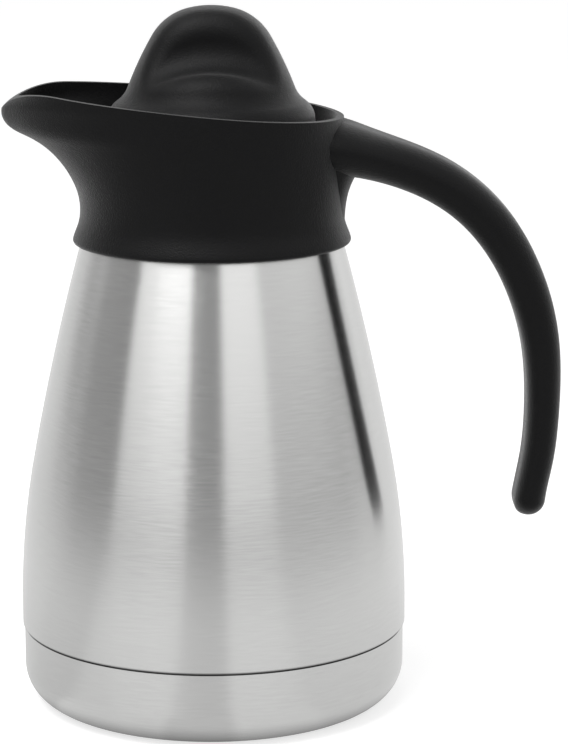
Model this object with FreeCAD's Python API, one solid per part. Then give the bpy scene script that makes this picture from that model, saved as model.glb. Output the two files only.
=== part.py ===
"""Insulated steel pouring jug with a moulded collar, an open arch handle and a twist stopper.

Millimetres. The origin is the centre of the base, +Z is up, the pouring lip points to -X
and the handle to +X.
"""
import FreeCAD, Part
import math
import os

# Steel flask
steel_wall = 0.6
shell_radius = 65.4
seam_height = 26.2
straight_top = 32.9
shoulder_sweep_radius = 277.3
shoulder_sweep_angle = 10.53
upper_sweep_radius = 920.0
vacuum_gap = 4.0
neck_gap = 1.2
shoulder_rise = 3.3
neck_fillet = 2.0
liner_neck_fillet = 3.0
shoulder_land = 0.5
liner_floor_height = 8.5
liner_floor_fillet = 14.0
liner_weld_height = 26.0
hidden_chords = 3

# Base of the flask
cup_step = 0.6
cup_fillet = 12.6
press_gap = 0.1
seam_groove = 0.5
seam_chamfer = 0.4
cup_bead_radius = 30.0
cup_bead_width = 4.0
cup_bead_depth = 0.4
base_pad_thickness = 2.2
base_pad_inner_radius = 6.0
base_pad_margin = 7.2
bottom_fillet = 11.0
bottom_overlap = 5.0
skirt_bottom_height = 15.0
pump_hole_radius = 1.5
seal_bead_radius = 3.5
seal_bead_height = 1.2
getter_radius = 5.0
getter_height = 2.6
getter_offset = 22.0

# Stopper thread, throat and neck
plug_radius = 26.2
thread_depth = 1.6
running_clearance = 0.3
throat_wall = 2.8
throat_rise = 7.3
seat_thickness = 2.0
seat_width = 3.5
throat_flange_width = 5.0
throat_flange_thickness = 2.0
deck_rise = 30.8
deck_thickness = 2.2
neck_seal_thickness = 1.2
deck_seal_thickness = 0.8
fit_clearance = 0.3

# Collar with the pouring lip
collar_foot_height = 157.2
collar_foot_wall = 2.35
collar_foot_flare = 2.6
collar_wall = 2.4
collar_edge_radius = 1.1
rim_rise = 46.1
rim_slope = 0.0935
rim_skirt_gap = 1.2
rim_taper = 0.5
lip_nose_length = 20.4
lip_nose_drop = 12.0
lip_nose_setback = 19.8
lip_edge_rise = 45.6
lip_edge_wall = 2.0
lip_floor_shift = 1.5
basin_steps = 4
basin_overrun = 2.7
basin_overrun_steps = 3
outline_points = 24
cutter_margin = 60.0
cut_overrun = 1.0
edge_tolerance = 0.01

# Foot of the collar: height above the foot, share of the flare
foot_rows = ((0.0, 1.0), (2.3, 0.85), (6.3, 0.27))

# Collar outline above its waist: height above the foot, reach of the lip past the waist, pointedness
waist_height = 11.4
lip_stations = (
    (18.4, 1.3, 0.52),
    (24.5, 4.5, 0.56),
    (30.5, 9.7, 0.62),
    (35.5, 17.3, 0.69),
    (39.2, 23.7, 0.75),
    (42.0, 25.4, 0.76),
    (44.4, 25.6, 0.73),
    (46.6, 24.4, 0.66),
    (48.8, 22.0, 0.59),
    (51.0, 20.4, 0.55),
    (54.0, 19.6, 0.53),
)
round_section = 0.5

# Handle: one line of tangent arcs, with a flat oval section along it
handle_rise = 31.2
handle_start_tilt = -11.0
handle_arcs = ((122.5, 13.9), (60.4, 32.8), (87.8, 28.2), (159.8, 19.3))
handle_root_inset = 6.0
handle_root_spread = 17.5
handle_root_spread_run = 18.0
handle_width = 24.5
handle_end_width = 23.0
handle_root_flare = 3.4
handle_root_flare_run = 9.0
handle_thickness = 13.5
handle_section_count = 13
handle_edge_share = 0.68
handle_end_length = 6.6
handle_end_lean = 0.8
handle_end_turns = (0.0, 22.5, 45.0, 67.5)

# Thickness along the handle: share of its length, share of the thickness
handle_swell = (
    (0.0, 1.06),
    (0.24, 1.095),
    (0.38, 1.07),
    (0.52, 1.0),
    (0.75, 0.83),
    (0.88, 0.785),
    (1.0, 0.785),
)

# Tongue under the handle's root: share of its height, reach past the collar's waist
tongue_foot_rise = 4.2
tongue_top_rise = 31.3
tongue_half_width = 18.6
tongue_tip_share = 0.01
tongue_rows = ((0.0, 0.2), (0.2, 0.5), (0.41, 1.3), (0.6, 3.1), (0.76, 5.6), (1.0, 8.6))

# Handle screws
screw_rise = 25.2
screw_spacing = 14.0
screw_radius = 1.7
screw_length = 14.0
screw_head_radius = 2.7
screw_head_thickness = 2.2
screw_hole_gap = 0.1
screw_pad_half_height = 3.6

# Stopper
knob_top_rise = 78.45
crown_radius = 32.0
crown_angle = 14.0
dome_radius = 19.0
dome_angle = 60.0
flank_radius = 120.0
flank_angle = 69.0
flare_radius = 10.0
skirt_angle = 34.5
skirt_edge_radius = 7.0
skirt_drop = 2.0
knob_wall = 2.5
scoop_arch_radius = 47.0
scoop_radius = 9.0
scoop_drop = 11.65
scoop_centre_depth = 22.0
scoop_edge_fillet = 8.0
flange_thickness = 2.0
ledge_width = 1.6
ledge_thickness = 1.5
plug_wall = 3.2
flow_flat_depth = 2.0
gasket_thickness = 2.7
base_flange_thickness = 3.0
base_spigot_height = 3.0

# Sizes that follow from the ones above
shoulder_height = collar_foot_height + shoulder_rise
throat_bottom_height = collar_foot_height + throat_rise
deck_height = collar_foot_height + deck_rise
rim_height = collar_foot_height + rim_rise
lip_edge_height = collar_foot_height + lip_edge_rise
handle_start_height = collar_foot_height + handle_rise
tongue_foot_height = collar_foot_height + tongue_foot_rise
tongue_top_height = collar_foot_height + tongue_top_rise
screw_height = collar_foot_height + screw_rise
knob_top_height = collar_foot_height + knob_top_rise
scoop_centre_height = knob_top_height - scoop_drop
plug_bore_radius = plug_radius - plug_wall
gasket_inner_radius = plug_bore_radius - press_gap
throat_bore = plug_radius + thread_depth + running_clearance
throat_radius = throat_bore + throat_wall
liner_neck_bore = throat_radius + fit_clearance
liner_neck_radius = liner_neck_bore + steel_wall
shell_neck_radius = liner_neck_radius + neck_gap + steel_wall
cup_radius = shell_radius - cup_step
cup_bore = cup_radius - steel_wall
skirt_radius = cup_bore - press_gap
base_pad_outer_radius = cup_radius - cup_fillet - base_pad_margin
bottom_radius = skirt_radius - steel_wall
bottom_height = steel_wall + base_pad_thickness
neck_top_height = deck_height - deck_thickness - neck_seal_thickness
deck_underside = deck_height - deck_thickness
throat_flange_height = deck_height + deck_seal_thickness
seat_height = throat_bottom_height + seat_thickness
gasket_bottom_height = seat_height + running_clearance
plug_bottom_height = gasket_bottom_height + gasket_thickness


def at(radius, height):
    """Point in the plane Y = 0."""
    return FreeCAD.Vector(radius, 0, height)


def trace(start, heading, moves, chords=0):
    """Edges of a tangent line in the plane Y = 0.

    A move is (length,) for a straight run or (radius, sweep) for an arc, and a positive sweep turns left.
    With chords, an arc is made of that many straight edges. Returns the edges and the end point.
    """
    x, z = start
    angle = math.radians(heading)
    edges = []
    for move in moves:
        begin = at(x, z)
        if len(move) == 1:
            x += move[0] * math.cos(angle)
            z += move[0] * math.sin(angle)
            edges.append(Part.LineSegment(begin, at(x, z)).toShape())
            continue
        radius, sweep = move[0], math.radians(move[1])
        side = math.copysign(1.0, sweep)
        cx = x - side * radius * math.sin(angle)
        cz = z + side * radius * math.cos(angle)
        steps = chords or 2
        turns = [angle + sweep * step / steps for step in range(steps + 1)]
        points = [(cx + side * radius * math.sin(turn), cz - side * radius * math.cos(turn))
                  for turn in turns]
        angle += sweep
        x, z = points[-1]
        if chords:
            edges += joined(points)
        else:
            edges.append(Part.Arc(begin, at(*points[1]), at(x, z)).toShape())
    return edges, (x, z)


def joined(points):
    """Straight edges through a list of (radius, height) points."""
    corners = [at(*point) for point in points]
    return [Part.LineSegment(a, b).toShape() for a, b in zip(corners, corners[1:])]


def turned(edges):
    """Solid of revolution about the Z axis from a closed outline."""
    face = Part.Face(Part.Wire(edges))
    return face.revolve(FreeCAD.Vector(0, 0, 0), FreeCAD.Vector(0, 0, 1), 360)


def turned_polygon(points):
    """Solid of revolution from the corners of a straight-sided outline."""
    return turned(joined(list(points) + [points[0]]))


def ring(inner, outer, bottom, top):
    """Flat ring about the Z axis."""
    return turned_polygon(((inner, bottom), (outer, bottom), (outer, top), (inner, top)))


def disc(radius, bottom, top):
    """Upright cylinder about the Z axis."""
    return Part.makeCylinder(radius, top - bottom, FreeCAD.Vector(0, 0, bottom))


def reversed_edges(edges):
    """The same edges in the opposite order, for the return side of an outline."""
    return list(reversed(edges))


def shoulder_angle():
    """Lean of the flask's side where the shoulder starts."""
    lean = math.radians(shoulder_sweep_angle)
    sweep_top = straight_top + shoulder_sweep_radius * math.sin(lean)
    return math.degrees(math.asin(math.sin(lean) + (shoulder_height - sweep_top) / upper_sweep_radius))


def flask_radius(height):
    """Outer radius of the steel shell at a height between the straight foot and the shoulder."""
    lean = math.radians(shoulder_sweep_angle)
    sweep_top = straight_top + shoulder_sweep_radius * math.sin(lean)
    if height <= straight_top:
        return shell_radius
    if height <= sweep_top:
        rise = height - straight_top
        return shell_radius - shoulder_sweep_radius + math.sqrt(shoulder_sweep_radius ** 2 - rise ** 2)
    joint_radius = shell_radius - shoulder_sweep_radius * (1 - math.cos(lean))
    rise = height - sweep_top + upper_sweep_radius * math.sin(lean)
    return joint_radius - upper_sweep_radius * math.cos(lean) + math.sqrt(upper_sweep_radius ** 2 - rise ** 2)


def flask_side(inset, neck_radius, fillet, start_height, top_height, chords=0):
    """Side, shoulder and neck of the flask, moved inwards by inset. Returns the edges and both ends."""
    lean = shoulder_angle()
    turn_radius = shell_neck_radius + neck_fillet + shoulder_land
    shoulder = (flask_radius(shoulder_height) - turn_radius) / math.cos(math.radians(lean))
    side = (
        (straight_top - start_height,),
        (shoulder_sweep_radius - inset, shoulder_sweep_angle),
        (upper_sweep_radius - inset, lean - shoulder_sweep_angle),
    )
    neck = (
        (shoulder - inset, 90 - lean),
        (turn_radius - neck_radius - fillet,),
        (fillet, -90),
    )
    start = (shell_radius - inset, start_height)
    edges, shoulder_point = trace(start, 90, side, chords)
    neck_edges, neck_point = trace(shoulder_point, 90 + lean, neck, hidden_chords)
    end = (neck_radius, top_height)
    return edges + neck_edges + joined((neck_point, end)), start, end


def outer_shell():
    """Tapered outer wall with a stepped-in skirt for the base cup."""
    edge_height = seam_height + seam_groove / 2
    lip_height = neck_top_height - steel_wall
    side_start = edge_height + seam_chamfer
    outer, outer_foot, outer_lip = flask_side(0, shell_neck_radius, neck_fillet, side_start, lip_height)
    inner_start = edge_height + steel_wall
    inner, inner_foot, inner_lip = flask_side(
        steel_wall, shell_neck_radius - steel_wall, neck_fillet + steel_wall, inner_start, lip_height,
        hidden_chords)
    skirt_bore = skirt_radius - steel_wall
    foot = joined((
        inner_foot,
        (skirt_bore, inner_foot[1]),
        (skirt_bore, skirt_bottom_height),
        (skirt_radius, skirt_bottom_height),
        (skirt_radius, edge_height),
        (shell_radius - seam_chamfer, edge_height),
        outer_foot,
    ))
    return turned(foot + outer + joined((outer_lip, inner_lip)) + reversed_edges(inner))


def inner_liner():
    """Side of the inner vessel, which follows the shell, with a lip that laps over the shell's neck."""
    inset = steel_wall + vacuum_gap
    outer, outer_foot, outer_lip = flask_side(
        inset, liner_neck_radius, liner_neck_fillet, liner_weld_height, neck_top_height - steel_wall,
        hidden_chords)
    inner, inner_foot, inner_lip = flask_side(
        inset + steel_wall, liner_neck_bore, liner_neck_fillet + steel_wall, liner_weld_height,
        neck_top_height, hidden_chords)
    lip = joined((outer_lip, (shell_neck_radius, outer_lip[1]), (shell_neck_radius, neck_top_height),
                  inner_lip))
    return turned(joined((inner_foot, outer_foot)) + outer + lip + reversed_edges(inner))


def dish(radius, fillet, floor_height, top_height, wall, chords=0):
    """Outline edges of a round pressed dish with a rounded lower edge."""
    turn = radius - fillet
    outer_turn = trace((turn, floor_height), 0, ((fillet, 90),), chords)[0]
    inner_turn = trace((turn, floor_height + wall), 0, ((fillet - wall, 90),), hidden_chords)[0]
    floor = joined(((turn, floor_height + wall), (0, floor_height + wall), (0, floor_height),
                    (turn, floor_height)))
    rim = joined(((radius, floor_height + fillet), (radius, top_height), (radius - wall, top_height),
                  (radius - wall, floor_height + fillet)))
    return turned(floor + outer_turn + rim + inner_turn)


def liner_floor():
    """Pressed floor of the inner vessel, welded to its side."""
    radius = shell_radius - steel_wall - vacuum_gap
    return dish(radius, liner_floor_fillet, liner_floor_height, liner_weld_height, steel_wall, hidden_chords)


def base_cup():
    """Steel cup under the seam, with a pressed stiffening bead in its floor."""
    cup = dish(cup_radius, cup_fillet, 0, seam_height - seam_groove / 2, steel_wall)
    bead = ring(cup_bead_radius, cup_bead_radius + cup_bead_width, -cut_overrun, cup_bead_depth)
    return cup.cut(bead)


def shell_bottom():
    """Pressed dish that closes the vacuum space, with the pump-out hole in its middle."""
    top = skirt_bottom_height + bottom_overlap
    plate = dish(bottom_radius, bottom_fillet, bottom_height, top, steel_wall, hidden_chords)
    hole = disc(pump_hole_radius, 0, bottom_height + 2 * steel_wall)
    return plate.cut(hole)


def vacuum_seal():
    """Bead that fills the pump-out hole and spreads under it."""
    top = bottom_height + steel_wall
    low = bottom_height - seal_bead_height
    bead = disc(seal_bead_radius, low, bottom_height)
    return bead.fuse(disc(pump_hole_radius, low, top)).removeSplitter()


def getter():
    """Pellet in the vacuum space, resting on the shell bottom."""
    height = bottom_height + steel_wall
    return Part.makeCylinder(getter_radius, getter_height, FreeCAD.Vector(getter_offset, 0, height))


def base_pad():
    """Foam pad between the base cup and the shell bottom."""
    return ring(base_pad_inner_radius, base_pad_outer_radius, steel_wall, bottom_height)


def waist_radius():
    """Radius of the collar's waist, set by the shell it closes round."""
    return flask_radius(collar_foot_height) + fit_clearance + collar_foot_wall - collar_foot_flare


def rim_half_width():
    """Half width of the collar's rim, never too narrow for the stopper's skirt to pass through it."""
    return max(waist_radius() - rim_taper, knob_skirt_radius() + rim_skirt_gap + collar_wall)


def collar_side(height):
    """Half width of the collar at a height above its waist."""
    waist = collar_foot_height + waist_height
    share = (height - waist) / (rim_height - waist)
    return waist_radius() + share * (rim_half_width() - waist_radius())


def collar_outline(height, front, side, back, point):
    """Level egg-shaped outline: a half ellipse at the back and a more or less pointed front."""
    points = []
    for step in range(outline_points):
        angle = 2 * math.pi * step / outline_points
        along, across = math.cos(angle), math.sin(angle)
        if along >= 0:
            points.append(FreeCAD.Vector(back * along, side * across, height))
        else:
            width = side * math.copysign(abs(across) ** (2 * point), across)
            points.append(FreeCAD.Vector(front * along, width, height))
    curve = Part.BSplineCurve()
    curve.interpolate(Points=points, PeriodicFlag=True)
    return Part.Wire([curve.toShape()])


def collar_mass():
    """Outer form of the collar before it is hollowed and trimmed."""
    waist = waist_radius()
    outlines = []
    for above_foot, share in foot_rows + ((waist_height, 0.0),):
        radius = waist + share * collar_foot_flare
        height = collar_foot_height + above_foot
        outlines.append(collar_outline(height, radius, radius, radius, round_section))
    for above_foot, reach, point in lip_stations:
        height = collar_foot_height + above_foot
        outlines.append(collar_outline(height, waist + reach, collar_side(height), waist, point))
    return Part.makeLoft(outlines, True, False)


def between(rows, position):
    """Values at a position in a table, between its two nearest rows."""
    for low, high in zip(rows, rows[1:]):
        if low[0] <= position <= high[0]:
            share = (position - low[0]) / (high[0] - low[0])
            return [a + share * (b - a) for a, b in zip(low[1:], high[1:])]
    raise ValueError("position is outside the table")


def lip_station(height):
    """Reach and pointedness of the lip at a height."""
    return between(lip_stations, height - collar_foot_height)


def basin():
    """Hollow above the deck, whose floor climbs along the trough to the lip's edge."""
    waist = waist_radius()
    reach, point = lip_station(deck_height - lip_floor_shift)
    tip_reach, tip_point = lip_station(lip_edge_height)
    climb = lip_edge_height - deck_height
    fronts = []
    for step in range(basin_steps + 1):
        share = step / basin_steps
        front = reach - collar_wall + share * (tip_reach - lip_edge_wall + collar_wall - reach)
        fronts.append((deck_height + share * climb, front, point + share * (tip_point - point)))
    for step in range(basin_overrun_steps):
        height = lip_edge_height + (step + 1) * basin_overrun
        reach, point = lip_station(height)
        fronts.append((height, reach - lip_edge_wall, point))
    outlines = []
    for height, front, point in fronts:
        side = collar_side(height) - collar_wall
        outlines.append(collar_outline(height, waist + front, side, waist - collar_wall, point))
    return Part.makeLoft(outlines, True, False)


def lip_tip():
    """Reach of the lip's nose from the axis."""
    return waist_radius() + max(reach for above_foot, reach, point in lip_stations)


def rim_trim():
    """Block above the rim: a sloping plane that rounds down over the nose of the lip by a quarter ellipse."""
    slope = math.atan(rim_slope)
    ahead = FreeCAD.Vector(-math.cos(slope), 0, math.sin(slope))
    upward = FreeCAD.Vector(math.sin(slope), 0, math.cos(slope))
    side = lip_tip() + cutter_margin
    turn_x = lip_nose_setback - lip_tip()
    turn = at(turn_x, rim_height - rim_slope * turn_x)
    centre = turn - upward * lip_nose_drop
    nose = centre + ahead * lip_nose_length
    over = Part.ArcOfEllipse(Part.Ellipse(nose, turn, centre), 0, math.pi / 2).toShape()
    top = rim_height + cutter_margin
    back = (side, rim_height - rim_slope * side)
    rest = joined(((turn.x, turn.z), back, (side, top), (-side, top), (-side, nose.z), (nose.x, nose.z)))
    face = Part.Face(Part.Wire([over] + rest))
    face.translate(FreeCAD.Vector(0, -cutter_margin, 0))
    return face.extrude(FreeCAD.Vector(0, 2 * cutter_margin, 0))


def collar_cavity_radius(height):
    """Radius of the hollow under the deck."""
    return collar_side(height) - collar_wall


def screw_seat():
    """Distance from the axis to the flat that the handle screws' heads bear on."""
    head = screw_head_radius + fit_clearance
    reach = screw_spacing / 2 + head
    return math.sqrt(collar_cavity_radius(screw_height + head) ** 2 - reach ** 2)


def screw_places():
    """Points on the axes of the handle screws, at the seat of their heads."""
    return [FreeCAD.Vector(screw_seat(), side * screw_spacing / 2, screw_height) for side in (-1, 1)]


def collar():
    """Moulded collar: hollow under the deck, an open basin above it and a trough to the lip."""
    body = collar_mass()
    foot_edges = [edge for edge in body.Edges if edge.BoundBox.ZMax < collar_foot_height + edge_tolerance]
    body = body.makeFillet(collar_edge_radius, foot_edges)
    waist = collar_foot_height + waist_height
    shoulder_bore = flask_radius(shoulder_height) + fit_clearance
    below_foot = collar_foot_height - cut_overrun
    hollow = turned_polygon((
        (0, below_foot),
        (flask_radius(below_foot) + fit_clearance, below_foot),
        (shoulder_bore, shoulder_height),
        (collar_cavity_radius(waist), waist),
        (collar_cavity_radius(deck_underside), deck_underside),
        (0, deck_underside),
    ))
    seat = screw_seat()
    half_width = screw_spacing / 2 + screw_head_radius + fit_clearance
    pad = Part.makeBox(waist_radius() - seat, 2 * half_width, 2 * screw_pad_half_height,
                       FreeCAD.Vector(seat, -half_width, screw_height - screw_pad_half_height))
    hollow = hollow.cut(pad)
    body = body.cut(hollow).cut(basin())
    deck_hole = disc(throat_radius + fit_clearance, deck_underside - cut_overrun, deck_height + cut_overrun)
    body = body.cut(deck_hole)
    for place in screw_places():
        body = body.cut(Part.makeCylinder(screw_radius + screw_hole_gap, cutter_margin, place,
                                          FreeCAD.Vector(1, 0, 0)))
    return body.cut(rim_trim())


def neck_seal():
    """Washer between the flask's lip and the collar's deck."""
    return ring(throat_radius + fit_clearance, shell_neck_radius, neck_top_height, deck_underside)


def deck_seal():
    """Washer under the throat ring's flange."""
    inner = throat_radius + fit_clearance
    return ring(inner, throat_radius + throat_flange_width - fit_clearance, deck_height, throat_flange_height)


def throat_ring():
    """Ring in the flask's neck with a flange that clamps the collar and a seat for the stopper's gasket."""
    flange = throat_radius + throat_flange_width
    top = throat_flange_height + throat_flange_thickness
    return turned_polygon((
        (throat_bore - seat_width, throat_bottom_height),
        (throat_radius, throat_bottom_height),
        (throat_radius, throat_flange_height),
        (flange, throat_flange_height),
        (flange, top),
        (throat_bore, top),
        (throat_bore, seat_height),
        (throat_bore - seat_width, seat_height),
    ))


def handle_pose(distance):
    """Place and heading, in degrees, on the handle's line at a distance from its root."""
    x, z, heading = waist_radius(), handle_start_height, handle_start_tilt
    if distance <= 0:
        slope = math.radians(heading)
        return x + distance * math.cos(slope), z + distance * math.sin(slope), heading
    for radius, sweep in handle_arcs:
        turn = min(math.degrees(distance / radius), sweep)
        angle, ahead = math.radians(heading), math.radians(heading - turn)
        x += radius * (math.sin(angle) - math.sin(ahead))
        z += radius * (math.cos(ahead) - math.cos(angle))
        heading -= turn
        distance -= math.radians(turn) * radius
        if distance <= 0:
            break
    return x, z, heading


def handle_length():
    """Length of the handle's line."""
    return sum(math.radians(sweep) * radius for radius, sweep in handle_arcs)


def half_oval(centre, out, across):
    """Half ellipse from one side of its centre, out and round to the other side."""
    if out.Length > across.Length:
        whole = Part.Ellipse(centre + out, centre - across, centre)
        return Part.ArcOfEllipse(whole, -math.pi / 2, math.pi / 2).toShape()
    whole = Part.Ellipse(centre + across, centre + out, centre)
    return Part.ArcOfEllipse(whole, 0, math.pi).toShape()


def handle_section(distance, scale=1.0):
    """Flat oval across the handle's line: straight above and below, with half ellipses at the sides."""
    along = max(distance, 0.0)
    share = min(along / handle_length(), 1.0)
    width = handle_width + share * (handle_end_width - handle_width)
    width += handle_root_spread * math.exp(-along / handle_root_spread_run)
    thickness = handle_thickness * between(handle_swell, share)[0]
    thickness += handle_root_flare * math.exp(-along / handle_root_flare_run)
    middle, outward = handle_middle(distance, scale)
    half_depth = outward * (scale * thickness / 2)
    edge = FreeCAD.Vector(0, scale * handle_edge_share * width / 2, 0)
    flat = FreeCAD.Vector(0, scale * width / 2, 0) - edge
    edges = []
    for side in (1, -1):
        centre = middle + flat * side
        edges.append(half_oval(centre, edge * side, half_depth * side))
        start = centre - half_depth * side
        edges.append(Part.LineSegment(start, start - flat * (2 * side)).toShape())
    return Part.Wire(edges)


def handle_middle(distance, scale):
    """Middle of a section and the direction to its upper side. A shrunk section leans inwards."""
    x, z, heading = handle_pose(distance)
    slope = math.radians(heading)
    outward = FreeCAD.Vector(-math.sin(slope), 0, math.cos(slope))
    return at(x, z) - outward * (handle_end_lean * (1 - scale)), outward


def handle_bar():
    """Handle from inside the collar to the start of its rounded end."""
    run = (handle_length() - handle_end_length + handle_root_inset) / (handle_section_count - 1)
    sections = [handle_section(step * run - handle_root_inset) for step in range(handle_section_count)]
    return Part.makeLoft(sections, True, False)


def handle_end():
    """Rounded end of the handle."""
    length = handle_length()
    sections = []
    for turn in handle_end_turns:
        angle = math.radians(turn)
        distance = length - handle_end_length * (1 - math.sin(angle))
        sections.append(handle_section(distance, math.cos(angle)))
    sections.append(Part.Vertex(handle_middle(length, 0.0)[0]))
    return Part.makeLoft(sections, True, False)


def tongue_section(share, reach):
    """Level oval across the tongue that meets the collar's waist at the tongue's width."""
    waist = waist_radius()
    half_width = tongue_half_width * math.sqrt(max(share, tongue_tip_share))
    centre = at(waist - handle_root_inset,
                tongue_foot_height + share * (tongue_top_height - tongue_foot_height))
    length = handle_root_inset + reach
    inside = (math.sqrt(waist ** 2 - half_width ** 2) - centre.x) / length
    width = half_width / math.sqrt(1 - inside ** 2)
    oval = Part.Ellipse(centre + FreeCAD.Vector(0, width, 0), centre + FreeCAD.Vector(length, 0, 0), centre)
    return Part.Wire([oval.toShape()])


def handle_tongue():
    """Tongue under the handle's root that narrows down the collar's back."""
    return Part.makeLoft([tongue_section(share, reach) for share, reach in tongue_rows], True, False)


def handle(mass):
    """Arch handle, cut to the collar's back, with its screw holes."""
    whole = handle_bar().fuse(handle_end()).fuse(handle_tongue()).cut(mass)
    for place in screw_places():
        whole = whole.cut(Part.makeCylinder(screw_radius + screw_hole_gap, screw_length, place,
                                            FreeCAD.Vector(1, 0, 0)))
    return whole


def handle_screws():
    """Two screws through the collar's wall into the handle's root."""
    along = FreeCAD.Vector(1, 0, 0)
    screws = []
    for place in screw_places():
        head = Part.makeCylinder(screw_head_radius, screw_head_thickness, place, along * -1)
        shank = Part.makeCylinder(screw_radius, screw_length, place, along)
        screws.append(head.fuse(shank).removeSplitter())
    return Part.makeCompound(screws)


def knob_side(inset, chords=0):
    """Bell outline of the knob from its crown to the skirt, moved inwards by inset."""
    moves = (
        (crown_radius - inset, -crown_angle),
        (dome_radius - inset, crown_angle - dome_angle),
        (flank_radius - inset, dome_angle - flank_angle),
        (flare_radius + inset, flank_angle - skirt_angle),
        (skirt_edge_radius - inset, skirt_angle - 90),
    )
    return trace((0, knob_top_height - inset), 0, moves, chords)


def knob_skirt_radius():
    """Widest radius of the stopper."""
    return knob_side(0)[1][0]


def skirt_bottom():
    """Height of the skirt's lower edge."""
    return knob_side(0)[1][1] - skirt_drop


def flange_top():
    """Height of the ledge that the plug's flange seats on."""
    return skirt_bottom() + flange_thickness + fit_clearance


def scoops():
    """Thumb scoops at the front and back, swept along an arch."""
    centre_height = scoop_centre_height - scoop_arch_radius
    rings = []
    for side in (-1, 1):
        centre = FreeCAD.Vector(0, side * scoop_centre_depth, centre_height)
        ring_cut = Part.makeTorus(scoop_arch_radius, scoop_radius, centre, FreeCAD.Vector(0, 1, 0))
        ring_cut.rotate(centre, FreeCAD.Vector(0, 1, 0), 180)
        rings.append(ring_cut)
    return rings[0].fuse(rings[1])


def scoop_backs():
    """Blocks behind the scoops, a wall clear of them, where the knob's hollow stops."""
    depth = scoop_centre_depth - scoop_radius - knob_wall
    bottom = scoop_centre_height - 2 * scoop_radius
    size = (4 * scoop_centre_depth, 2 * scoop_centre_depth, knob_top_height - bottom)
    back = Part.makeBox(*size, FreeCAD.Vector(-size[0] / 2, depth, bottom))
    front = Part.makeBox(*size, FreeCAD.Vector(-size[0] / 2, -depth - size[1], bottom))
    return back.fuse(front)


def is_scoop(surface):
    """True for the torus that a scoop leaves on the bell."""
    if not isinstance(surface, Part.Toroid):
        return False
    return abs(surface.MajorRadius - scoop_arch_radius) < edge_tolerance


def scoop_rims(bell):
    """Edges where the scoops meet the bell."""
    rims = []
    for edge in bell.Edges:
        kinds = set()
        for face in bell.ancestorsOfType(edge, Part.Face):
            kinds.add(is_scoop(face.Surface))
        if len(kinds) == 2:
            rims.append(edge)
    return rims


def stopper_knob():
    """Hollow knob: a bell with two scoops, a ledge for the plug's flange and an open skirt."""
    edges, (x, z) = knob_side(0)
    bottom = skirt_bottom()
    bell = turned(edges + joined(((x, z), (x, bottom), (0, bottom), (0, knob_top_height))))
    bell = bell.cut(scoops())
    bell = bell.makeFillet(scoop_edge_fillet, scoop_rims(bell))
    edges, (x, z) = knob_side(knob_wall, hidden_chords)
    ledge = flange_top()
    hollow = turned(edges + joined(((x, z), (x, ledge), (0, ledge), (0, knob_top_height - knob_wall))))
    hollow = hollow.cut(scoop_backs())
    hollow = hollow.cut(ring(x - ledge_width, x + cut_overrun, ledge - cut_overrun, ledge + ledge_thickness))
    return bell.cut(hollow).cut(disc(x, bottom - cut_overrun, ledge))


def stopper_plug():
    """Threaded half of the stopper, with a flange in the skirt and two flats that let liquid past."""
    top = flange_top()
    skirt_bore = knob_skirt_radius() - knob_wall
    seat = top - flange_thickness
    body = disc(plug_radius, plug_bottom_height, seat)
    flat = plug_radius - flow_flat_depth
    for side in (-1, 1):
        corner = FreeCAD.Vector(flat if side > 0 else -flat - plug_radius, -plug_radius, plug_bottom_height)
        body = body.cut(Part.makeBox(plug_radius, 2 * plug_radius, seat - plug_bottom_height, corner))
    body = body.fuse(disc(skirt_bore - fit_clearance, seat, top))
    return body.cut(disc(plug_bore_radius, plug_bottom_height - cut_overrun, seat)).removeSplitter()


def stopper_base():
    """Disc under the gasket with a spigot in the plug's bore."""
    seat_bore = throat_bore - seat_width
    bottom = gasket_bottom_height - base_flange_thickness
    spigot_top = plug_bottom_height + base_spigot_height
    spigot = gasket_inner_radius - press_gap
    return turned_polygon((
        (0, bottom),
        (seat_bore - running_clearance, bottom),
        (seat_bore - running_clearance, gasket_bottom_height),
        (spigot, gasket_bottom_height),
        (spigot, spigot_top),
        (0, spigot_top),
    ))


def stopper_insulation():
    """Foam core between the base's spigot and the plug's flange."""
    return disc(plug_bore_radius - fit_clearance, plug_bottom_height + base_spigot_height,
                flange_top() - flange_thickness)


def stopper_gasket():
    """Silicone ring under the plug, no wider than it, so that it passes the throat's thread."""
    return ring(gasket_inner_radius, plug_radius, gasket_bottom_height, plug_bottom_height)


def build():
    """Write every piece to its own file."""
    mass = collar_mass()
    pieces = {
        "outer_shell": outer_shell(),
        "inner_liner": inner_liner(),
        "liner_floor": liner_floor(),
        "shell_bottom": shell_bottom(),
        "vacuum_seal": vacuum_seal(),
        "getter": getter(),
        "base_pad": base_pad(),
        "base_cup": base_cup(),
        "collar": collar(),
        "throat_ring": throat_ring(),
        "neck_seal": neck_seal(),
        "deck_seal": deck_seal(),
        "handle": handle(mass),
        "handle_screws": handle_screws(),
        "stopper_knob": stopper_knob(),
        "stopper_plug": stopper_plug(),
        "stopper_insulation": stopper_insulation(),
        "stopper_base": stopper_base(),
        "stopper_gasket": stopper_gasket(),
    }
    os.makedirs("parts", exist_ok=True)
    for name, shape in pieces.items():
        if not shape.isValid():
            raise ValueError(name + " is not a valid solid")
        shape.exportStep("parts/" + name + ".step")
        print(name, len(shape.Solids), round(shape.Volume / 1000, 2))


build()
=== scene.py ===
"""Looks of an insulated pouring jug: finishes on the CAD nodes, thread flights and a studio."""

import math

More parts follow.
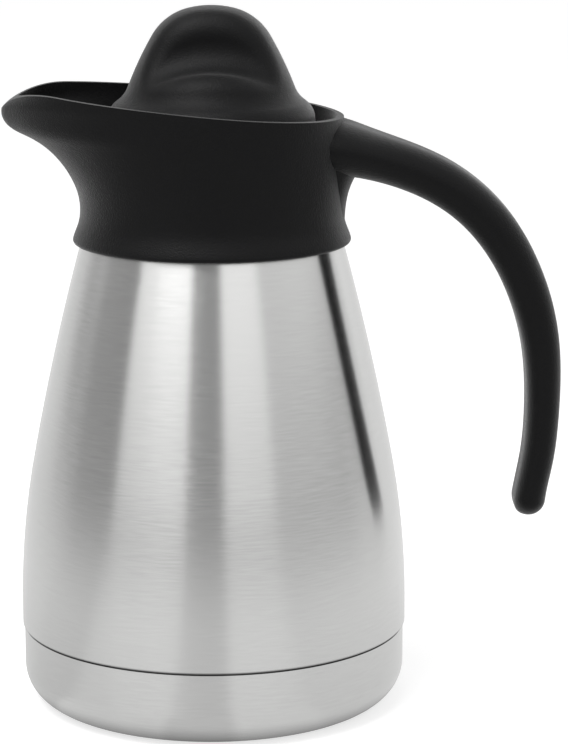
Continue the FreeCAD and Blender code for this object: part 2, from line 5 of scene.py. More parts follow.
import bpy
import numpy as np
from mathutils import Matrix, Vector


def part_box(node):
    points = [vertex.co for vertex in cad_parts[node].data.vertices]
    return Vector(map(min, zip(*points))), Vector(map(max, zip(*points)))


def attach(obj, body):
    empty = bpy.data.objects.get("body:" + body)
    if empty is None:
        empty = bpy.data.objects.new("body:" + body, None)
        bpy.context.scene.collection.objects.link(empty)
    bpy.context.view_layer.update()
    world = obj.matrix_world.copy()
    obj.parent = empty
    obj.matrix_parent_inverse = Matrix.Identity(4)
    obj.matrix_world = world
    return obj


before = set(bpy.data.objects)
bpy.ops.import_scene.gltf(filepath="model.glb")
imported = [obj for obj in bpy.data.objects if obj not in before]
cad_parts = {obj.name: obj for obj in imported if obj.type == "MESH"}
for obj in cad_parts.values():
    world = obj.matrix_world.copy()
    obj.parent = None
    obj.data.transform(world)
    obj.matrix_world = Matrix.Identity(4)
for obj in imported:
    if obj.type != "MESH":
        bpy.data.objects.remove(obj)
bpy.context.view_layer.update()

bl_info = {
    "name": "Insulated pouring jug",
    "version": (1, 0, 0),
    "blender": (4, 5, 0),
    "location": "3D View > Sidebar > Jug",
    "description": "Finishes, thread flights and a studio stage for an insulated pouring jug",
    "category": "Object",
}

MM = 0.001
WHITE = (1, 1, 1, 1)

# Sockets of a Mix node that share their names: two numbers, two colours and the mixed colour.
MIX_A, MIX_B = 2, 3
MIX_COLOUR_A, MIX_COLOUR_B, MIX_COLOUR = 6, 7, 2

# Share by which a material's colour swings either side of its own over its pattern.
STEEL_SWING = 0.075
DRAWN_SWING = 0.06
PLASTIC_SWING = 0.25
SILICONE_SWING = 0.04
FOAM_SWING = 0.06
GLASS_SWING = 0.2
METAL_SWING = 0.1

# Roughness at the two ends of a material's pattern.
STEEL_ROUGHNESS = (0.2, 0.28)
DRAWN_ROUGHNESS = (0.22, 0.36)
PLASTIC_ROUGHNESS = (0.38, 0.54)
SILICONE_ROUGHNESS = (0.48, 0.62)

# Depth of a surface's relief, and size of the patterns on the hidden pieces.
BRUSH_DEPTH = 0.02 * MM
SPARK_DEPTH = 0.18 * MM
PIT_DEPTH = 0.1 * MM
DRAWN_CLOUD = 12 * MM
SILICONE_BLOOM = 4 * MM
GLASS_STREAK = 1.5 * MM

# Heights from the seam's middle between which painted shade in the seam's groove fades out, on the
# shell's edge above it and the cup's edge below it, and the share of the steel's colour that is
# left where the painted shade is full.
SEAM_SHELL_SHADE = (0.15 * MM, 1.2 * MM)
SEAM_CUP_SHADE = (-0.25 * MM, -0.35 * MM)
SEAM_SHADE_LEFT = 0.2

# Thread: its starts, the plug's sides between its flats, the flights on each side, the rings of
# points along a flight, the share of a flight that runs out at each end, and the least run-out.
THREAD_STARTS = 2
PLUG_SIDES = 2
PLUG_ROWS = 3
FLIGHT_RINGS = 97
RUN_OUT = 0.12
RUN_OUT_TIP = 0.02

# Mirrored floor, in metres: distances from the axis at which its front fades, its painted shade
# ends and its painted contact shadow ends, and the Y at which the floor behind the jug takes over.
FLOOR_HALF_SIDE = 6.0
FLOOR_FADE = (0.2, 1.1)
FLOOR_SHADE = (0.09, 0.24)
FLOOR_CONTACT = (0.05, 0.07)
FLOOR_BACK = (-0.1, 0.5)

# Mirrored room, as parts of a unit direction: the Z at which the panels rise from the horizon,
# the Y past which they reach down to the floor, and the Z at which the ceiling takes over.
PANEL_FOOT = (0.02, 0.22)
PANEL_BACK = (0.3, 0.75)
CEILING_EDGE = (0.75, 0.95)

# Upright panels round the room: angle about Z in degrees, from the camera's side and positive to
# its right, and the level there.
PANELS = (
    (-165, 0.36), (-140, 0.34), (-108, 0.34), (-94, 0.17), (-67, 0.12), (-61, 0.76),
    (-36, 0.68), (-19, 0.62), (-14, 0.08), (4, 0.08), (10, 0.74), (35, 0.75),
    (44, 0.48), (90, 0.56), (130, 0.54), (160, 0.38),
)

# Place that the softboxes are aimed at, and the height of the camera's frame in millimetres.
SOFTBOX_AIM = (0, 0, 0.15)
FRAME_HEIGHT = 36


def linear(code):
    """Linear RGB of an sRGB hex colour, by the sRGB curve."""
    shares = np.array([int(code[i:i + 2], 16) for i in (1, 3, 5)]) / 255
    low = shares / 12.92
    high = ((shares + 0.055) / 1.055) ** 2.4
    return tuple(float(value) for value in np.where(shares <= 0.04045, low, high))


def colour_property(name, description, code):
    """Colour setting with its default given as sRGB hex."""
    return bpy.props.FloatVectorProperty(
        name=name, description=description, default=linear(code), subtype="COLOR", size=3,
        min=0, max=1)


def length_property(name, description, millimetres):
    """Length setting with its default given in millimetres."""
    return bpy.props.FloatProperty(
        name=name, description=description, default=millimetres * MM, subtype="DISTANCE",
        unit="LENGTH")


def angle_property(name, description, degrees):
    """Angle setting with its default given in degrees."""
    return bpy.props.FloatProperty(
        name=name, description=description, default=math.radians(degrees), subtype="ANGLE",
        unit="ROTATION")


def power_property(name, description, watts):
    """Lamp setting with its default given in watts."""
    return bpy.props.FloatProperty(
        name=name, description=description, default=watts, subtype="POWER", unit="POWER", min=0)


def level_property(name, description, level):
    """Brightness setting, where 1 is white."""
    return bpy.props.FloatProperty(name=name, description=description, default=level, min=0)


def share_property(name, description, share):
    """Setting that is a share of something else."""
    return bpy.props.FloatProperty(
        name=name, description=description, default=share, subtype="FACTOR", min=0, max=1)


class JugFinish(bpy.types.PropertyGroup):
    """Colours and grain sizes of the jug's materials."""
    steel: colour_property("Steel", "Brushed stainless steel of the body", "#d2d2d1")
    drawn_steel: colour_property("Drawn steel", "Plain steel of the inner vessel", "#cac8c5")
    plastic: colour_property("Plastic", "Moulded black polypropylene", "#080809")
    silicone: colour_property("Silicone", "Seals and gasket", "#c9c8c2")
    foam: colour_property("Foam", "Foam core of the stopper", "#eceae4")
    pad: colour_property("Pad", "Foam pad in the base", "#3a3a3a")
    glass: colour_property("Glass", "Solder glass bead under the flask", "#5d4a38")
    getter: colour_property("Getter", "Pressed pellet that keeps the vacuum", "#8a8a8c")
    zinc: colour_property("Zinc", "Plating of the handle's screws", "#b9bbc0")
    brush_width: length_property("Brush line", "Spacing of the brush lines on the steel", 0.4)
    brush_length: length_property("Brush run", "Length of a brush line round the body", 8)
    seam_height: length_property("Seam height", "Height of the seam above the base cup", 26.2)
    spark_grain: length_property("Spark grain", "Grain of the moulded texture", 0.5)


class JugThread(bpy.types.PropertyGroup):
    """Two-start thread between the stopper and the throat."""
    plug_radius: length_property("Plug radius", "Radius of the plug under its thread", 26.2)
    flat_reach: length_property("Flat reach", "From the axis to a flow flat on the plug", 24.2)
    throat_bore: length_property("Throat bore", "Radius of the throat under its thread", 28.1)
    lead: length_property("Lead", "Rise of the stopper in one turn", 16)
    first_height: length_property("First height", "From the throat's foot to its thread", 8.5)
    throat_run: length_property("Throat run", "Rise of the thread in the throat", 14)
    flank_offset: length_property("Flank offset", "Drop from the throat's flights to the plug's", 2)
    flight_height: length_property("Flight height", "Height of a flight above its wall", 1.3)
    flight_root: length_property("Flight root", "Axial width of a flight at its wall", 2.4)
    flight_crest: length_property("Flight crest", "Axial width of a flight at its crest", 1.2)
    flight_sink: length_property("Flight sink", "Depth of a flight's foot in its wall", 0.15)
    flat_clearance: angle_property("Flat clearance", "Angle kept free beside a flow flat", 4)


class JugStage(bpy.types.PropertyGroup):
    """Camera and light."""
    camera_place: bpy.props.FloatVectorProperty(
        name="Camera", description="Place of the camera", default=(0.00645, -0.9459, 0.3121),
        size=3, subtype="TRANSLATION", unit="LENGTH")
    camera_pitch: angle_property("Pitch", "Angle that the camera looks down", 11.93)
    camera_pan: angle_property("Pan", "Angle that the camera looks to the right", 1.065)
    lens: bpy.props.FloatProperty(
        name="Lens", description="Focal length for the frame's height", default=138.44,
        subtype="DISTANCE_CAMERA", unit="CAMERA")
    top_power: power_property("Top power", "Softbox above the jug", 7.5)
    front_power: power_property("Front power", "Softbox at the front left", 3.2)
    room_light: level_property("Room light", "Light from all sides", 0.55)
    panel_light: level_property("Panel light", "Upright panels that the steel mirrors", 1.6)
    dim_light: level_property("Dim light", "Mirrored room between the panels", 0.2)
    ceiling_light: level_property("Ceiling light", "Mirrored ceiling", 0.4)
    floor_colour: colour_property("Floor", "Paper of the floor", "#cccccc")
    floor_lift: level_property("Floor lift", "Light added where the camera sees the floor", 0.66)
    floor_behind: level_property("Floor behind", "Mirrored floor behind the jug", 0.88)
    floor_ahead: level_property("Floor ahead", "Mirrored floor in front of the jug", 0.98)
    floor_far: level_property("Floor far", "Mirrored floor far in front of the jug", 0.5)
    floor_shade: share_property("Floor shade", "Mirrored light left close round the jug", 0.84)
    floor_contact: share_property("Floor contact", "Mirrored light left under the jug", 0.15)
    floor_panel_light: share_property("Floor panels", "Swing of the floor before the panels", 0.13)


def add_node(tree, kind, inputs=None, **settings):
    """Adds a shader node, sets its properties, and fills or links its inputs."""
    made = tree.nodes.new("ShaderNode" + kind)
    for name, value in settings.items():
        setattr(made, name, value)
    for socket, value in (inputs or {}).items():
        if isinstance(value, bpy.types.NodeSocket):
            tree.links.new(value, made.inputs[socket])
        else:
            made.inputs[socket].default_value = value
    return made


def new_material(name):
    """Empty node material. Returns it and its node tree."""
    material = bpy.data.materials.new(name)
    material.use_nodes = True
    material.node_tree.nodes.clear()
    return material, material.node_tree


def swing(factor, colour, spread):
    """Factor and colours of a mix that swings by a share either side of the given colour."""
    dark = tuple(value * (1 - spread) for value in colour) + (1,)
    light = tuple(min(value * (1 + spread), 1) for value in colour) + (1,)
    return {"Factor": factor, MIX_COLOUR_A: dark, MIX_COLOUR_B: light}


def brushed_stainless(finish):
    """Stainless steel brushed round the body.

    The eye sees fine level lines, and reflections that smear up and down into soft upright bands.
    Real brush lines are near 0.1 mm apart, and these are drawn coarser so that they show. The
    seam above the base cup has painted shade: a thin dark band in the colour, standing in for the
    shade in its groove.
    """
    material, tree = new_material("brushed stainless steel")
    place = add_node(tree, "TexCoord")
    along, across = 1 / finish.brush_length, 1 / finish.brush_width
    stretched = add_node(tree, "Mapping", {
        "Vector": place.outputs["Object"], "Scale": (along, along, across)})
    lines = add_node(tree, "TexNoise", {
        "Vector": stretched.outputs[0], "Scale": 1.0, "Detail": 3.0, "Roughness": 0.6})
    brushed = add_node(
        tree, "Mix", swing(lines.outputs["Fac"], finish.steel, STEEL_SWING), data_type="RGBA")
    parts = add_node(tree, "SeparateXYZ", {"Vector": place.outputs["Object"]})
    # Painted shade: a thin dark band in the steel's colour at the seam, standing in for the shade
    # in its groove.
    shell = add_node(tree, "MapRange", {
        "Value": parts.outputs["Z"], "From Min": finish.seam_height + SEAM_SHELL_SHADE[0],
        "From Max": finish.seam_height + SEAM_SHELL_SHADE[1], "To Min": SEAM_SHADE_LEFT},
        interpolation_type="SMOOTHSTEP")
    cup = add_node(tree, "MapRange", {
        "Value": parts.outputs["Z"], "From Min": finish.seam_height + SEAM_CUP_SHADE[0],
        "From Max": finish.seam_height + SEAM_CUP_SHADE[1], "To Min": SEAM_SHADE_LEFT},
        interpolation_type="SMOOTHSTEP")
    unshaded = add_node(tree, "Math", {0: shell.outputs[0], 1: cup.outputs[0]}, operation="MAXIMUM")
    colour = add_node(tree, "VectorMath", {
        0: brushed.outputs[MIX_COLOUR], "Scale": unshaded.outputs[0]}, operation="SCALE")
    rough = add_node(tree, "MapRange", {
        "Value": lines.outputs["Fac"], "To Min": STEEL_ROUGHNESS[0], "To Max": STEEL_ROUGHNESS[1]})
    bump = add_node(tree, "Bump", {
        "Height": lines.outputs["Fac"], "Strength": 0.03, "Distance": BRUSH_DEPTH})
    # The tangent runs round the body, and the quarter turn makes reflections smear up and down.
    around = add_node(tree, "Tangent", direction_type="RADIAL", axis="Z")
    shader = add_node(tree, "BsdfPrincipled", {
        "Base Color": colour.outputs[0], "Metallic": 1.0, "Roughness": rough.outputs[0],
        "Anisotropic": 0.9, "Anisotropic Rotation": 0.25, "Normal": bump.outputs[0],
        "Tangent": around.outputs[0]})
    add_node(tree, "OutputMaterial", {"Surface": shader.outputs[0]})
    return material


def drawn_stainless(finish):
    """Plain drawn steel of the hidden vessel: a dull even sheen with faint clouding."""
    material, tree = new_material("drawn stainless steel")
    place = add_node(tree, "TexCoord")
    clouds = add_node(tree, "TexNoise", {
        "Vector": place.outputs["Object"], "Scale": 1 / DRAWN_CLOUD, "Detail": 4.0})
    colour = add_node(
        tree, "Mix", swing(clouds.outputs["Fac"], finish.drawn_steel, DRAWN_SWING),
        data_type="RGBA")
    rough = add_node(tree, "MapRange", {
        "Value": clouds.outputs["Fac"], "To Min": DRAWN_ROUGHNESS[0], "To Max": DRAWN_ROUGHNESS[1]})
    shader = add_node(tree, "BsdfPrincipled", {
        "Base Color": colour.outputs[MIX_COLOUR], "Metallic": 1.0, "Roughness": rough.outputs[0]})
    add_node(tree, "OutputMaterial", {"Surface": shader.outputs[0]})
    return material


def spark_textured_polypropylene(finish):
    """Black polypropylene from a spark-eroded mould.

    The eye sees a matt black with a fine even grain that turns grey where light grazes it. The
    real grain is near 0.1 mm, and it is drawn coarser so that it shows.
    """
    material, tree = new_material("black polypropylene, spark textured")
    place = add_node(tree, "TexCoord")
    grain = add_node(tree, "TexNoise", {
        "Vector": place.outputs["Object"], "Scale": 1 / finish.spark_grain, "Detail": 2.0,
        "Roughness": 0.55})
    colour = add_node(
        tree, "Mix", swing(grain.outputs["Fac"], finish.plastic, PLASTIC_SWING), data_type="RGBA")
    rough = add_node(tree, "MapRange", {
        "Value": grain.outputs["Fac"], "To Min": PLASTIC_ROUGHNESS[0],
        "To Max": PLASTIC_ROUGHNESS[1]})
    bump = add_node(tree, "Bump", {
        "Height": grain.outputs["Fac"], "Strength": 1.0, "Distance": SPARK_DEPTH})
    shader = add_node(tree, "BsdfPrincipled", {
        "Base Color": colour.outputs[MIX_COLOUR], "Roughness": rough.outputs[0], "IOR": 1.49,
        "Specular IOR Level": 0.16, "Sheen Weight": 0.42, "Sheen Roughness": 0.33,
        "Normal": bump.outputs[0]})
    add_node(tree, "OutputMaterial", {"Surface": shader.outputs[0]})
    return material


def soft_silicone(finish):
    """Moulded white silicone: a soft matt surface with a faint bloom."""
    material, tree = new_material("silicone rubber")
    place = add_node(tree, "TexCoord")
    bloom = add_node(tree, "TexNoise", {
        "Vector": place.outputs["Object"], "Scale": 1 / SILICONE_BLOOM, "Detail": 3.0})
    colour = add_node(
        tree, "Mix", swing(bloom.outputs["Fac"], finish.silicone, SILICONE_SWING), data_type="RGBA")
    rough = add_node(tree, "MapRange", {
        "Value": bloom.outputs["Fac"], "To Min": SILICONE_ROUGHNESS[0],
        "To Max": SILICONE_ROUGHNESS[1]})
    shader = add_node(tree, "BsdfPrincipled", {
        "Base Color": colour.outputs[MIX_COLOUR], "Roughness": rough.outputs[0], "IOR": 1.41})
    add_node(tree, "OutputMaterial", {"Surface": shader.outputs[0]})
    return material


def cell_foam(name, colour, cell):
    """Foam with closed cells of the given size: matt, with a fine pitted skin."""
    material, tree = new_material(name)
    place = add_node(tree, "TexCoord")
    cells = add_node(tree, "TexVoronoi", {"Vector": place.outputs["Object"], "Scale": 1 / cell})
    pitted = add_node(
        tree, "Mix", swing(cells.outputs["Distance"], colour, FOAM_SWING), data_type="RGBA")
    bump = add_node(tree, "Bump", {
        "Height": cells.outputs["Distance"], "Strength": 0.4, "Distance": PIT_DEPTH})
    shader = add_node(tree, "BsdfPrincipled", {
        "Base Color": pitted.outputs[MIX_COLOUR], "Roughness": 0.85, "Normal": bump.outputs[0]})
    add_node(tree, "OutputMaterial", {"Surface": shader.outputs[0]})
    return material


def fused_glass(finish):
    """Solder glass bead: brown and glossy, with faint flow streaks."""
    material, tree = new_material("solder glass")
    place = add_node(tree, "TexCoord")
    flow = add_node(tree, "TexNoise", {
        "Vector": place.outputs["Object"], "Scale": 1 / GLASS_STREAK, "Detail": 2.0})
    colour = add_node(
        tree, "Mix", swing(flow.outputs["Fac"], finish.glass, GLASS_SWING), data_type="RGBA")
    shader = add_node(tree, "BsdfPrincipled", {
        "Base Color": colour.outputs[MIX_COLOUR], "Roughness": 0.18, "IOR": 1.6})
    add_node(tree, "OutputMaterial", {"Surface": shader.outputs[0]})
    return material


def pressed_metal(name, colour, grain, roughness):
    """Grey metal with a fine grain, for the getter pellet and the zinc plated screws."""
    material, tree = new_material(name)
    place = add_node(tree, "TexCoord")
    grit = add_node(tree, "TexNoise", {
        "Vector": place.outputs["Object"], "Scale": 1 / grain, "Detail": 2.0})
    grey = add_node(tree, "Mix", swing(grit.outputs["Fac"], colour, METAL_SWING), data_type="RGBA")
    shader = add_node(tree, "BsdfPrincipled", {
        "Base Color": grey.outputs[MIX_COLOUR], "Metallic": 1.0, "Roughness": roughness})
    add_node(tree, "OutputMaterial", {"Surface": shader.outputs[0]})
    return material


def dress(material, *nodes):
    """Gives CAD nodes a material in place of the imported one."""
    for name in nodes:
        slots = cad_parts[name].data.materials
        slots.clear()
        slots.append(material)


def ring_mesh(name, points, material, body):
    """Closed tube from an array of rings: points[ring, corner] with a flat cap at each end."""
    rings, corners = points.shape[:2]
    index = np.arange(rings * corners).reshape(rings, corners)
    here, ahead = index[:-1], index[1:]
    around = (here, ahead, np.roll(ahead, -1, 1), np.roll(here, -1, 1))
    quads = np.stack(around, axis=-1).reshape(-1, 4)
    faces = quads.tolist() + [index[0].tolist(), index[-1, ::-1].tolist()]
    mesh = bpy.data.meshes.new(name)
    mesh.from_pydata(points.reshape(-1, 3).tolist(), [], faces)
    mesh.materials.append(material)
    piece = bpy.data.objects.new(name, mesh)
    bpy.context.scene.collection.objects.link(piece)
    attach(piece, body)


def flight_points(wall, outward, start, stop, height_at_zero, thread):
    """One thread flight: a trapezium carried along a helix about Z.

    At turn t the flight's middle is at height_at_zero + lead * t / full turn. The trapezium stands
    on the wall's radius, away from the axis where outward is 1 and towards it where outward is -1,
    and shrinks nearly to nothing at both ends by a smooth run-out.
    """
    turn = np.linspace(start, stop, FLIGHT_RINGS)
    share = np.linspace(0, 1, FLIGHT_RINGS)
    run_out = np.clip(np.minimum(share, 1 - share) / RUN_OUT, RUN_OUT_TIP, 1)
    run_out = np.sin(run_out * math.pi / 2)
    root, crest = thread.flight_root / 2, thread.flight_crest / 2
    sink, top = -thread.flight_sink, thread.flight_height
    rise = np.array((sink, top, top, sink))
    side = np.array((-root, -crest, crest, root)) * outward
    radius = wall + outward * np.where(rise > 0, rise * run_out[:, None], rise)
    height = height_at_zero + thread.lead * turn[:, None] / math.tau + side * run_out[:, None]
    across, along = radius * np.cos(turn)[:, None], radius * np.sin(turn)[:, None]
    return np.stack((across, along, height), axis=-1)


def panel_levels(tree, parts):
    """Level of the upright panels in a direction or before a place, from its X and Y."""
    toward = add_node(tree, "Math", {0: parts.outputs["Y"], 1: -1.0}, operation="MULTIPLY")
    compass = add_node(
        tree, "Math", {0: parts.outputs["X"], 1: toward.outputs[0]}, operation="ARCTAN2")
    share = add_node(tree, "MapRange", {
        "Value": compass.outputs[0], "From Min": -math.pi, "From Max": math.pi})
    levels = add_node(tree, "ValToRGB", {"Fac": share.outputs[0]})
    ramp = levels.color_ramp
    ramp.interpolation = "EASE"
    while len(ramp.elements) < len(PANELS):
        ramp.elements.new(0.5)
    for element, (angle, level) in zip(ramp.elements, PANELS):
        element.position = (angle + 180) / 360
        element.color = (level, level, level, 1)
    return levels.outputs[0]


def add_floor(scene, stage):
    """Pale floor, lifted to white for the camera, that takes the jug's shadow.

    In reflections it glows with painted light, bright round the jug and fading towards the
    dim front of the room, with painted light and shade that swing with the panels before it,
    painted shade close round the jug and a painted shadow under it.
    """
    half = FLOOR_HALF_SIDE
    corners = [(-half, -half, 0), (half, -half, 0), (half, half, 0), (-half, half, 0)]
    mesh = bpy.data.meshes.new("floor")
    mesh.from_pydata(corners, [], [(0, 1, 2, 3)])
    material, tree = new_material("pale studio floor")
    path = add_node(tree, "LightPath")
    seen = add_node(tree, "Math", {
        0: path.outputs["Is Camera Ray"], 1: path.outputs["Is Transmission Ray"]},
        operation="MAXIMUM")
    lift = add_node(tree, "Math", {0: seen.outputs[0], 1: stage.floor_lift}, operation="MULTIPLY")
    glow = add_node(tree, "Emission", {"Color": WHITE, "Strength": lift.outputs[0]})
    matt = add_node(tree, "BsdfDiffuse", {"Color": tuple(stage.floor_colour) + (1,)})
    paper = add_node(tree, "AddShader", {0: matt.outputs[0], 1: glow.outputs[0]})
    place = add_node(tree, "TexCoord")
    reach = add_node(tree, "VectorMath", {0: place.outputs["Object"]}, operation="LENGTH")
    ahead = add_node(tree, "MapRange", {
        "Value": reach.outputs["Value"], "From Min": FLOOR_FADE[0], "From Max": FLOOR_FADE[1],
        "To Min": stage.floor_ahead, "To Max": stage.floor_far}, interpolation_type="SMOOTHSTEP")
    parts = add_node(tree, "SeparateXYZ", {"Vector": place.outputs["Object"]})
    behind = add_node(tree, "MapRange", {
        "Value": parts.outputs["Y"], "From Min": FLOOR_BACK[0], "From Max": FLOOR_BACK[1]},
        interpolation_type="SMOOTHSTEP")
    plain = add_node(tree, "Mix", {
        "Factor": behind.outputs[0], MIX_A: ahead.outputs[0], MIX_B: stage.floor_behind})
    # Painted light and shade: the mirrored floor is lighter before bright panels and darker before
    # dim ones.
    share = add_node(tree, "MapRange", {
        "Value": panel_levels(tree, parts), "To Min": 1 - stage.floor_panel_light,
        "To Max": 1 + stage.floor_panel_light})
    lit = add_node(tree, "Math", {0: plain.outputs[0], 1: share.outputs[0]}, operation="MULTIPLY")
    # Painted contact shadow under the jug and painted shade close round it, in the mirrored floor.
    contact = add_node(tree, "MapRange", {
        "Value": reach.outputs["Value"], "From Min": FLOOR_CONTACT[0],
        "From Max": FLOOR_CONTACT[1], "To Min": stage.floor_contact},
        interpolation_type="SMOOTHSTEP")
    shade = add_node(tree, "MapRange", {
        "Value": reach.outputs["Value"], "From Min": FLOOR_SHADE[0], "From Max": FLOOR_SHADE[1],
        "To Min": stage.floor_shade}, interpolation_type="SMOOTHSTEP")
    dimmed = add_node(
        tree, "Math", {0: shade.outputs[0], 1: contact.outputs[0]}, operation="MULTIPLY")
    level = add_node(tree, "Math", {0: lit.outputs[0], 1: dimmed.outputs[0]}, operation="MULTIPLY")
    mirrored = add_node(tree, "Emission", {"Color": WHITE, "Strength": level.outputs[0]})
    shader = add_node(tree, "MixShader", {
        0: path.outputs["Is Glossy Ray"], 1: paper.outputs[0], 2: mirrored.outputs[0]})
    add_node(tree, "OutputMaterial", {"Surface": shader.outputs[0]})
    mesh.materials.append(material)
    floor = bpy.data.objects.new("floor", mesh)
    scene.collection.objects.link(floor)


def add_room(scene, stage):
    """White room for the camera, and a studio in what the jug mirrors.

    The mirrored studio has upright panels above the horizon, which reach down to the floor behind
    the jug, and a dim ceiling over them.
    """
    world = bpy.data.worlds.new("studio room")
    world.use_nodes = True
    tree = world.node_tree
    tree.nodes.clear()
    direction = add_node(tree, "TexCoord")
    parts = add_node(tree, "SeparateXYZ", {"Vector": direction.outputs["Generated"]})
    raised = add_node(tree, "MapRange", {
        "Value": parts.outputs["Z"], "From Min": PANEL_FOOT[0], "From Max": PANEL_FOOT[1]},
        interpolation_type="SMOOTHSTEP")
    behind = add_node(tree, "MapRange", {
        "Value": parts.outputs["Y"], "From Min": PANEL_BACK[0], "From Max": PANEL_BACK[1]},
        interpolation_type="SMOOTHSTEP")
    window = add_node(
        tree, "Math", {0: raised.outputs[0], 1: behind.outputs[0]}, operation="MAXIMUM")
    lit = add_node(
        tree, "Math", {0: panel_levels(tree, parts), 1: window.outputs[0]}, operation="MULTIPLY")
    bright = add_node(tree, "Math", {
        0: lit.outputs[0], 1: stage.panel_light, 2: stage.dim_light}, operation="MULTIPLY_ADD")
    top = add_node(tree, "MapRange", {
        "Value": parts.outputs["Z"], "From Min": CEILING_EDGE[0], "From Max": CEILING_EDGE[1]},
        interpolation_type="SMOOTHSTEP")
    level = add_node(tree, "Mix", {
        "Factor": top.outputs[0], MIX_A: bright.outputs[0], MIX_B: stage.ceiling_light})
    path = add_node(tree, "LightPath")
    mirrored = add_node(tree, "Background", {"Color": WHITE, "Strength": level.outputs[0]})
    plain = add_node(tree, "Background", {"Color": WHITE, "Strength": stage.room_light})
    white = add_node(tree, "Background", {"Color": WHITE, "Strength": 1.0})
    bounced = add_node(tree, "MixShader", {
        0: path.outputs["Is Glossy Ray"], 1: plain.outputs[0], 2: mirrored.outputs[0]})
    direct = add_node(tree, "Math", {
        0: path.outputs["Is Camera Ray"], 1: path.outputs["Is Transmission Ray"]},
        operation="MAXIMUM")
    seen = add_node(tree, "MixShader", {
        0: direct.outputs[0], 1: bounced.outputs[0], 2: white.outputs[0]})
    add_node(tree, "OutputWorld", {"Surface": seen.outputs[0]})
    scene.world = world


def add_softbox(scene, name, place, size, power):
    """Square softbox aimed at the jug's shoulder. Its glints show the mouldings' grain."""
    lamp = bpy.data.lights.new(name, "AREA")
    lamp.size = size
    lamp.energy = power
    softbox = bpy.data.objects.new(name, lamp)
    softbox.location = place
    aim = Vector(SOFTBOX_AIM) - softbox.location
    softbox.rotation_euler = aim.to_track_quat("-Z", "Y").to_euler()
    scene.collection.objects.link(softbox)


def add_camera(scene, stage):
    """Camera at the photograph's place and angle."""
    lens = bpy.data.cameras.new("camera")
    lens.sensor_width = FRAME_HEIGHT
    lens.lens = stage.lens
    camera = bpy.data.objects.new("camera", lens)
    camera.location = stage.camera_place
    camera.rotation_euler = (math.pi / 2 - stage.camera_pitch, 0, -stage.camera_pan)
    scene.collection.objects.link(camera)
    scene.camera = camera


class JUG_OT_steel_flask(bpy.types.Operator):
    """Brushes the steel shell and base cup, and finishes the vessel inside them"""
    bl_idname = "jug.steel_flask"
    bl_label = "Steel flask"

    def execute(self, context):
        finish = context.scene.jug_finish
        dress(brushed_stainless(finish), "outer_shell", "base_cup")
        dress(drawn_stainless(finish), "inner_liner", "liner_floor", "shell_bottom")
        dress(fused_glass(finish), "vacuum_seal")
        alloy = pressed_metal(
            "pressed getter alloy", finish.getter, grain=0.4 * MM, roughness=0.5)
        dress(alloy, "getter")
        dress(cell_foam("closed-cell base foam", finish.pad, cell=0.6 * MM), "base_pad")
        return {"FINISHED"}


class JUG_OT_mouldings(bpy.types.Operator):
    """Finishes the black collar, handle, throat and stopper, and the foam and screws in them"""
    bl_idname = "jug.mouldings"
    bl_label = "Black mouldings"

    def execute(self, context):
        finish = context.scene.jug_finish
        plastic = spark_textured_polypropylene(finish)
        dress(plastic, "collar", "handle", "throat_ring")
        dress(plastic, "stopper_knob", "stopper_plug", "stopper_base")
        foam = cell_foam("expanded stopper foam", finish.foam, cell=1.5 * MM)
        dress(foam, "stopper_insulation")
        zinc = pressed_metal("zinc plated steel", finish.zinc, grain=0.3 * MM, roughness=0.35)
        dress(zinc, "handle_screws")
        return {"FINISHED"}


class JUG_OT_seals(bpy.types.Operator):
    """Gives the washers and the stopper's gasket their silicone"""
    bl_idname = "jug.seals"
    bl_label = "Seals"

    def execute(self, context):
        silicone = soft_silicone(context.scene.jug_finish)
        dress(silicone, "neck_seal", "deck_seal", "stopper_gasket")
        return {"FINISHED"}


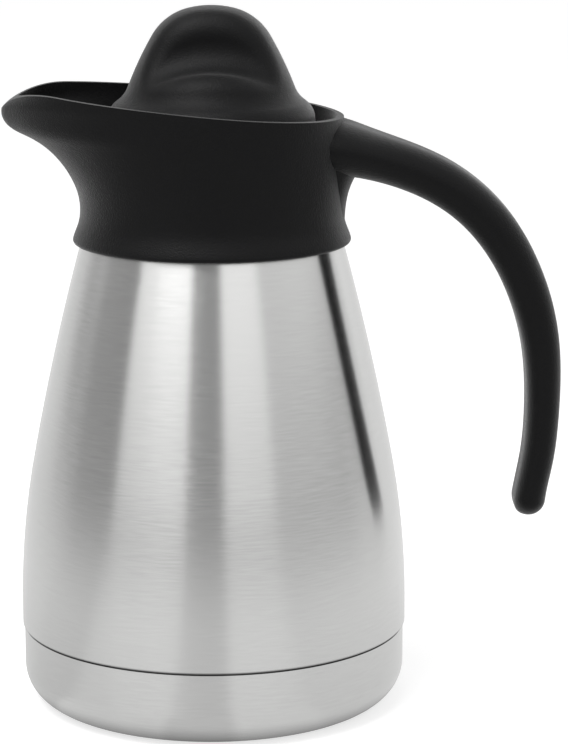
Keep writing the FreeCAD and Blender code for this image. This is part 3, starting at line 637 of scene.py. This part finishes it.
class JUG_OT_threads(bpy.types.Operator):
    """Puts the two-start thread in the throat and on the stopper's plug"""
    bl_idname = "jug.threads"
    bl_label = "Thread flights"

    def execute(self, context):
        thread = context.scene.jug_thread
        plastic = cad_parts["stopper_plug"].data.materials[0]
        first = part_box("throat_ring")[0][2] + thread.first_height
        pitch = thread.lead / THREAD_STARTS
        sweep = math.tau * thread.throat_run / thread.lead
        for start in range(THREAD_STARTS):
            turn = start * math.tau / THREAD_STARTS
            points = flight_points(
                thread.throat_bore, -1, turn, turn + sweep, first - start * pitch, thread)
            ring_mesh(f"throat_thread_{start + 1}", points, plastic, "jug")
        free = math.acos(thread.flat_reach / thread.plug_radius) + thread.flat_clearance
        for side in range(PLUG_SIDES):
            begin, end = side * math.pi + free, (side + 1) * math.pi - free
            for row in range(PLUG_ROWS):
                height = first - thread.flank_offset + (row - side) * pitch
                points = flight_points(thread.plug_radius, 1, begin, end, height, thread)
                name = f"plug_thread_{side + 1}_{row + 1}"
                ring_mesh(name, points, plastic, "stopper")
        return {"FINISHED"}


class JUG_OT_stage(bpy.types.Operator):
    """Sets the pale floor, the studio light and the camera"""
    bl_idname = "jug.stage"
    bl_label = "Studio stage"

    def execute(self, context):
        scene = context.scene
        stage = scene.jug_stage
        add_floor(scene, stage)
        add_room(scene, stage)
        add_softbox(
            scene, "top softbox", place=(-0.3, -0.35, 1.2), size=0.8, power=stage.top_power)
        add_softbox(
            scene, "front softbox", place=(-0.47, -0.65, 1.04), size=0.5, power=stage.front_power)
        add_camera(scene, stage)
        scene.view_settings.view_transform = "Standard"
        return {"FINISHED"}


OPERATORS = (
    JUG_OT_steel_flask, JUG_OT_mouldings, JUG_OT_seals, JUG_OT_threads, JUG_OT_stage)
GROUPS = {"jug_finish": JugFinish, "jug_thread": JugThread, "jug_stage": JugStage}


class JUG_PT_pieces(bpy.types.Panel):
    """Lists the jug's operators and settings"""
    bl_idname = "JUG_PT_pieces"
    bl_label = "Pouring jug"
    bl_space_type = "VIEW_3D"
    bl_region_type = "UI"
    bl_category = "Jug"

    def draw(self, context):
        for operator in OPERATORS:
            self.layout.operator(operator.bl_idname)
        for group in GROUPS:
            settings = getattr(context.scene, group)
            box = self.layout.box()
            for name in settings.bl_rna.properties.keys():
                if name not in {"rna_type", "name"}:
                    box.prop(settings, name)


CLASSES = tuple(GROUPS.values()) + OPERATORS + (JUG_PT_pieces,)


def register():
    for made in CLASSES:
        bpy.utils.register_class(made)
    for name, group in GROUPS.items():
        setattr(bpy.types.Scene, name, bpy.props.PointerProperty(type=group))


def unregister():
    for name in GROUPS:
        delattr(bpy.types.Scene, name)
    for made in reversed(CLASSES):
        bpy.utils.unregister_class(made)


def main():
    register()
    bpy.ops.jug.steel_flask()
    bpy.ops.jug.mouldings()
    bpy.ops.jug.seals()
    bpy.ops.jug.threads()
    bpy.ops.jug.stage()


if __name__ == "__main__":
    main()
